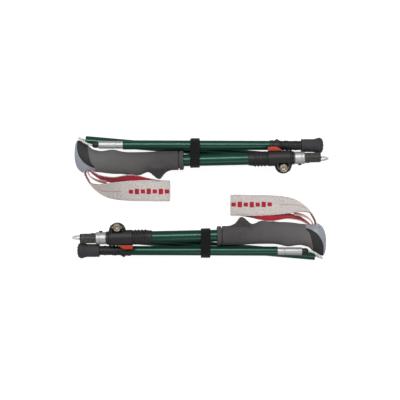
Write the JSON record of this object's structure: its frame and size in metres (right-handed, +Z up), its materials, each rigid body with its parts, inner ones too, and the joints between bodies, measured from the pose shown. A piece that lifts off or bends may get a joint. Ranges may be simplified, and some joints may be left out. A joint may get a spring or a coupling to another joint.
{
  "type": "pair of folding trekking poles",
  "caption": "Pair of three-section folding trekking poles lying folded head to foot, each with a foam grip, wrist strap, lever clamp, cord joints, rubber foot and a hook-and-loop tie.",
  "frame": {"origin": "on the surface the pair lies on, below the middle of the pair", "axes": "+X along the folded poles, +Y towards pole 1, +Z up"},
  "size_m": [0.3854, 0.1878, 0.0414],
  "materials": {
    "tube_green": "satin anodised",
    "metal": "satin",
    "cap_plastic": "satin",
    "dark_plastic": "moulded",
    "foam": "closed-cell foam",
    "webbing": "woven webbing",
    "tie_fabric": "hook-and-loop",
    "lever_plastic": "black with an orange tab",
    "screw_metal": "bronze",
    "steel": "plain",
    "cord": "coated cord",
    "tip_rubber": "moulded",
    "carbide": "ground"
  },
  "bodies": {
    "grip_1": {"upper_tube_1": "tube_green", "head_core_1": "dark_plastic", "head_cap_1": "cap_plastic", "strap_pin_1": "steel", "grip_foam_1": "foam", "grip_ring_1": "foam", "wrist_strap_1": "webbing", "bundle_tie_1": "tie_fabric", "clamp_body_1": "dark_plastic", "lever_pin_1": "steel"},
    "lever_1": {"clamp_lever_1": "lever_plastic"},
    "screw_1": {"clamp_screw_1": "screw_metal"},
    "extension_1": {"extension_tube_1": "metal", "joint_collar_1": "metal", "cord_anchor_1": "dark_plastic", "button_spring_1": "steel"},
    "button_1": {"release_button_1": "dark_plastic"},
    "socket_1": {"tension_tube_1": "dark_plastic", "upper_cord_loop_1": "cord"},
    "cord_turn_1": {"cord_middle_1": "cord"},
    "middle_1": {"middle_tube_1": "tube_green", "middle_plug_1": "metal"},
    "bend_1": {"lower_cord_loop_1": "cord"},
    "cord_end_1": {"cord_end_1": "cord"},
    "lower_1": {"lower_tube_1": "tube_green", "lower_plug_1": "metal", "tip_shaft_1": "dark_plastic", "carbide_tip_1": "carbide"},
    "foot_1": {"rubber_foot_1": "tip_rubber"},
    "grip_2": {"upper_tube_2": "tube_green", "head_core_2": "dark_plastic", "head_cap_2": "cap_plastic", "strap_pin_2": "steel", "grip_foam_2": "foam", "grip_ring_2": "foam", "wrist_strap_2": "webbing", "bundle_tie_2": "tie_fabric", "clamp_body_2": "dark_plastic", "lever_pin_2": "steel"},
    "lever_2": {"clamp_lever_2": "lever_plastic"},
    "screw_2": {"clamp_screw_2": "screw_metal"},
    "extension_2": {"extension_tube_2": "metal", "joint_collar_2": "metal", "cord_anchor_2": "dark_plastic", "button_spring_2": "steel"},
    "button_2": {"release_button_2": "dark_plastic"},
    "socket_2": {"tension_tube_2": "dark_plastic", "upper_cord_loop_2": "cord"},
    "cord_turn_2": {"cord_middle_2": "cord"},
    "middle_2": {"middle_tube_2": "tube_green", "middle_plug_2": "metal"},
    "bend_2": {"lower_cord_loop_2": "cord"},
    "cord_end_2": {"cord_end_2": "cord"},
    "lower_2": {"lower_tube_2": "tube_green", "lower_plug_2": "metal", "tip_shaft_2": "dark_plastic", "carbide_tip_2": "carbide"},
    "foot_2": {"rubber_foot_2": "tip_rubber"}
  },
  "joints": [
    {"name": "lever_1", "type": "hinge", "parent": "grip_1", "child": "lever_1", "pos_m": [0.12356, 0.04398, 0.03678], "axis": [0.9989, 0.0201, 0.0419], "range_deg": [0, 120]},
    {"name": "screw_1", "type": "hinge", "parent": "grip_1", "child": "screw_1", "pos_m": [0.12356, 0.04398, 0.03678], "axis": [-0.0419, -0.0008, 0.9991], "continuous": true},
    {"name": "extend_1", "type": "slide", "parent": "grip_1", "child": "extension_1", "axis": [0.9989, 0.0201, 0.0419], "range_m": [0, 0.2], "deforming": ["bundle_tie_1"]},
    {"name": "button_1", "type": "slide", "parent": "extension_1", "child": "button_1", "axis": [-0.0201, 0.9998, 0], "range_m": [0, 0.0011], "stiffness_N_per_m": 400, "springref_m": -0.002, "deforming": ["button_spring_1"]},
    {"name": "tension_1", "type": "slide", "parent": "extension_1", "child": "socket_1", "axis": [0.9989, 0.0201, 0.0419], "range_m": [0, 0.15], "deforming": ["bundle_tie_1", "upper_cord_loop_1", "lower_cord_loop_1"]},
    {"name": "fold_middle_1", "type": "hinge", "parent": "socket_1", "child": "cord_turn_1", "pos_m": [0.17367, 0.05886, 0.01788], "axis": [-0.0367, -0.9842, 0.173], "range_deg": [0, 183.43], "deforming": ["bundle_tie_1", "upper_cord_loop_1", "lower_cord_loop_1"]},
    {"name": "seat_middle_1", "type": "slide", "parent": "cord_turn_1", "child": "middle_1", "axis": [0.9962, -0.0872, 0], "range_m": [0, 0.04641], "deforming": ["bundle_tie_1", "upper_cord_loop_1", "lower_cord_loop_1"]},
    {"name": "fold_lower_1", "type": "hinge", "parent": "cord_turn_1", "child": "bend_1", "pos_m": [-0.16767, 0.08331, 0.01452], "axis": [-0.0366, -0.838, 0.5444], "range_deg": [0, 177.65], "deforming": ["bundle_tie_1", "lower_cord_loop_1"]},
    {"name": "shift_lower_1", "type": "slide", "parent": "bend_1", "child": "cord_end_1", "axis": [0.0366, 0.838, -0.5444], "range_m": [0, 0.01394], "deforming": ["bundle_tie_1", "lower_cord_loop_1"]},
    {"name": "seat_lower_1", "type": "slide", "parent": "cord_end_1", "child": "lower_1", "axis": [-1, 0.0035, 0.0052], "range_m": [0, 0.09281], "deforming": ["bundle_tie_1", "lower_cord_loop_1"]},
    {"name": "foot_1", "type": "slide", "parent": "lower_1", "child": "foot_1", "axis": [1, -0.0035, -0.0052], "range_m": [0, 0.05]},
    {"name": "part_poles", "type": "slide", "parent": "grip_1", "child": "grip_2", "axis": [0, -1, 0], "range_m": [0, 0.15]},
    {"name": "lever_2", "type": "hinge", "parent": "grip_2", "child": "lever_2", "pos_m": [-0.12356, -0.04398, 0.03678], "axis": [-0.9989, -0.0201, 0.0419], "range_deg": [0, 120]},
    {"name": "screw_2", "type": "hinge", "parent": "grip_2", "child": "screw_2", "pos_m": [-0.12356, -0.04398, 0.03678], "axis": [0.0419, 0.0008, 0.9991], "continuous": true},
    {"name": "extend_2", "type": "slide", "parent": "grip_2", "child": "extension_2", "axis": [-0.9989, -0.0201, 0.0419], "range_m": [0, 0.2], "deforming": ["bundle_tie_2"]},
    {"name": "button_2", "type": "slide", "parent": "extension_2", "child": "button_2", "axis": [0.0201, -0.9998, 0], "range_m": [0, 0.0011], "stiffness_N_per_m": 400, "springref_m": -0.002, "deforming": ["button_spring_2"]},
    {"name": "tension_2", "type": "slide", "parent": "extension_2", "child": "socket_2", "axis": [-0.9989, -0.0201, 0.0419], "range_m": [0, 0.15], "deforming": ["bundle_tie_2", "upper_cord_loop_2", "lower_cord_loop_2"]},
    {"name": "fold_middle_2", "type": "hinge", "parent": "socket_2", "child": "cord_turn_2", "pos_m": [-0.17367, -0.05886, 0.01788], "axis": [0.0367, 0.9842, 0.173], "range_deg": [0, 183.43], "deforming": ["bundle_tie_2", "upper_cord_loop_2", "lower_cord_loop_2"]},
    {"name": "seat_middle_2", "type": "slide", "parent": "cord_turn_2", "child": "middle_2", "axis": [-0.9962, 0.0872, 0], "range_m": [0, 0.04641], "deforming": ["bundle_tie_2", "upper_cord_loop_2", "lower_cord_loop_2"]},
    {"name": "fold_lower_2", "type": "hinge", "parent": "cord_turn_2", "child": "bend_2", "pos_m": [0.16767, -0.08331, 0.01452], "axis": [0.0366, 0.838, 0.5444], "range_deg": [0, 177.65], "deforming": ["bundle_tie_2", "lower_cord_loop_2"]},
    {"name": "shift_lower_2", "type": "slide", "parent": "bend_2", "child": "cord_end_2", "axis": [-0.0366, -0.838, -0.5444], "range_m": [0, 0.01394], "deforming": ["bundle_tie_2", "lower_cord_loop_2"]},
    {"name": "seat_lower_2", "type": "slide", "parent": "cord_end_2", "child": "lower_2", "axis": [1, -0.0035, 0.0052], "range_m": [0, 0.09281], "deforming": ["bundle_tie_2", "lower_cord_loop_2"]},
    {"name": "foot_2", "type": "slide", "parent": "lower_2", "child": "foot_2", "axis": [-1, 0.0035, -0.0052], "range_m": [0, 0.05]}
  ],
  "couplings": [
    {"joint": "seat_middle_1", "follows": "tension_1", "ratio": 0.30933},
    {"joint": "seat_lower_1", "follows": "tension_1", "ratio": 0.61867},
    {"joint": "fold_lower_1", "follows": "fold_middle_1", "ratio": 0.96841},
    {"joint": "shift_lower_1", "follows": "fold_middle_1", "m_per_rad": 0.00435},
    {"joint": "seat_middle_2", "follows": "tension_2", "ratio": 0.30933},
    {"joint": "seat_lower_2", "follows": "tension_2", "ratio": 0.61867},
    {"joint": "fold_lower_2", "follows": "fold_middle_2", "ratio": 0.96841},
    {"joint": "shift_lower_2", "follows": "fold_middle_2", "m_per_rad": 0.00435}
  ]
}
